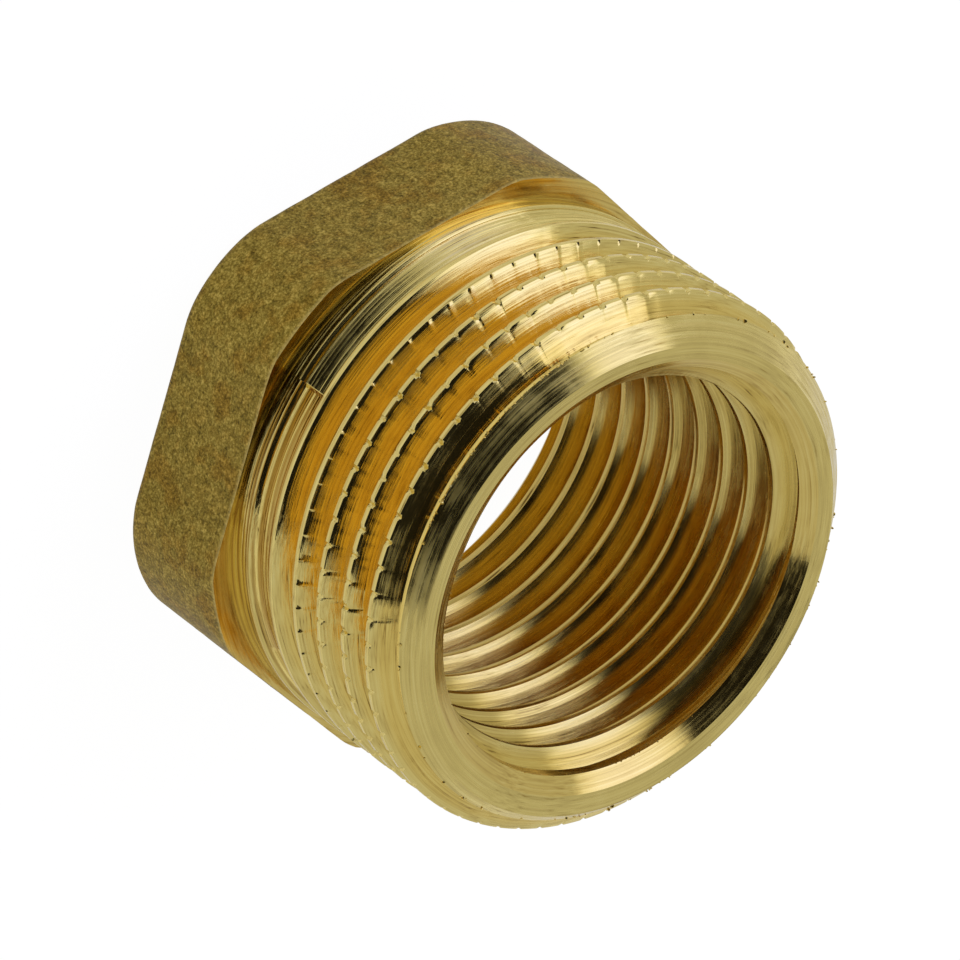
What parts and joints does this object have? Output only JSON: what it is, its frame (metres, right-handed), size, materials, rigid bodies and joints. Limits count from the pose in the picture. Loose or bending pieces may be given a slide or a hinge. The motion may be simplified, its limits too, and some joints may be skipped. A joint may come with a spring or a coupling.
{
  "type": "hex bushing",
  "caption": "Brass reducing bushing: a round nose with an outer pipe thread stands on a rounded hexagon, bored through with a smaller inner pipe thread.",
  "frame": {"origin": "centre of the hexagon's back face, on the bore's axis", "axes": "+Z along the bore from the hexagon to the nose, +X through a corner of the hexagon, +Y square to a flat"},
  "size_m": [0.0294, 0.027, 0.0185],
  "materials": {
    "brass": "as-cast, blasted hexagon with bright turned threads and faces"
  },
  "bodies": {
    "root": {"hex_bushing": "brass"}
  },
  "joints": []
}
